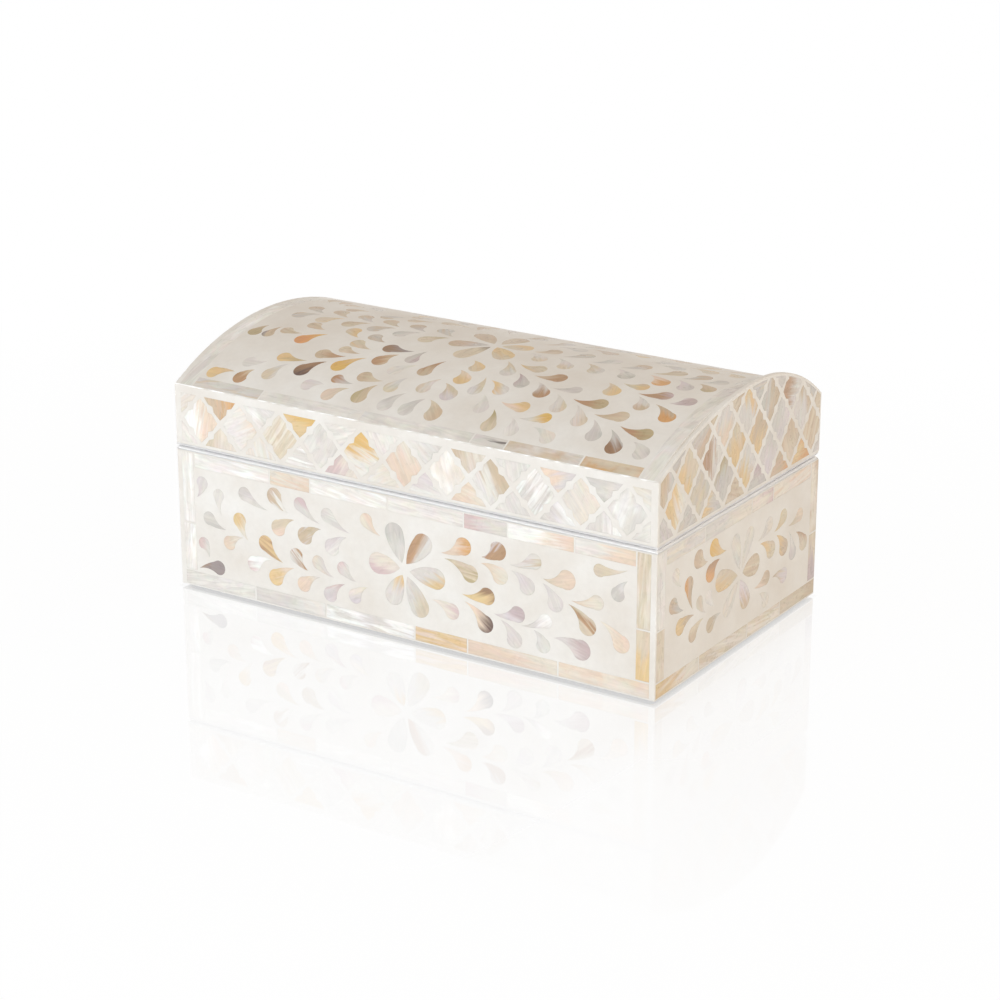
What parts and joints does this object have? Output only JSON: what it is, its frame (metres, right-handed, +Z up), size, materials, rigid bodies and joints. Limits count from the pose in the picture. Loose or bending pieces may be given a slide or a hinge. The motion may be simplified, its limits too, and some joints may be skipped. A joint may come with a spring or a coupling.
{
  "type": "mother-of-pearl box",
  "caption": "Oblong keepsake box with a domed lid hinged at the back, its wooden carcase faced with mother-of-pearl leaves and lattice tiles set in cream resin.",
  "frame": {"origin": "under the middle of the base pad, on the surface the box stands on", "axes": "+X along the front to the right, +Y towards the hinges at the back, +Z up"},
  "size_m": [0.23, 0.134, 0.1086],
  "materials": {
    "shell": null,
    "resin": "cream resin under clear lacquer",
    "wood": "plain board",
    "cloth": "short cream pile",
    "felt": "pressed felt",
    "brass": "polished"
  },
  "bodies": {
    "body": {"base_pad": "felt", "bottom_board": "wood", "body_front_board": "wood", "body_back_board": "wood", "body_left_board": "wood", "body_right_board": "wood", "body_front_resin": "resin", "body_back_resin": "resin", "body_left_resin": "resin", "body_right_resin": "resin", "body_front_border": "shell", "body_back_border": "shell", "body_left_border": "shell", "body_right_border": "shell", "body_front_petals": "shell", "body_back_petals": "shell", "body_left_petals": "shell", "body_right_petals": "shell", "body_rim": "resin", "floor_lining": "cloth", "body_wall_lining": "cloth", "hinge_left_body_leaf": "brass", "hinge_right_body_leaf": "brass", "hinge_left_pin": "brass", "hinge_right_pin": "brass", "hinge_body_screws": "brass"},
    "lid": {"lid_front_board": "wood", "lid_back_board": "wood", "lid_left_board": "wood", "lid_right_board": "wood", "lid_top_board": "wood", "lid_front_resin": "resin", "lid_back_resin": "resin", "lid_left_resin": "resin", "lid_right_resin": "resin", "lid_front_tiles": "shell", "lid_back_tiles": "shell", "lid_left_tiles": "shell", "lid_right_tiles": "shell", "dome_resin": "resin", "dome_border": "shell", "dome_petals": "shell", "lid_rim": "resin", "lid_wall_lining": "cloth", "lid_dome_lining": "cloth", "hinge_left_lid_leaf": "brass", "hinge_right_lid_leaf": "brass", "hinge_lid_screws": "brass"}
  },
  "joints": [
    {"name": "lid_hinge", "type": "hinge", "parent": "body", "child": "lid", "pos_m": [0, 0.0648, 0.0622], "axis": [-1, 0, 0], "range_deg": [0, 95]}
  ]
}
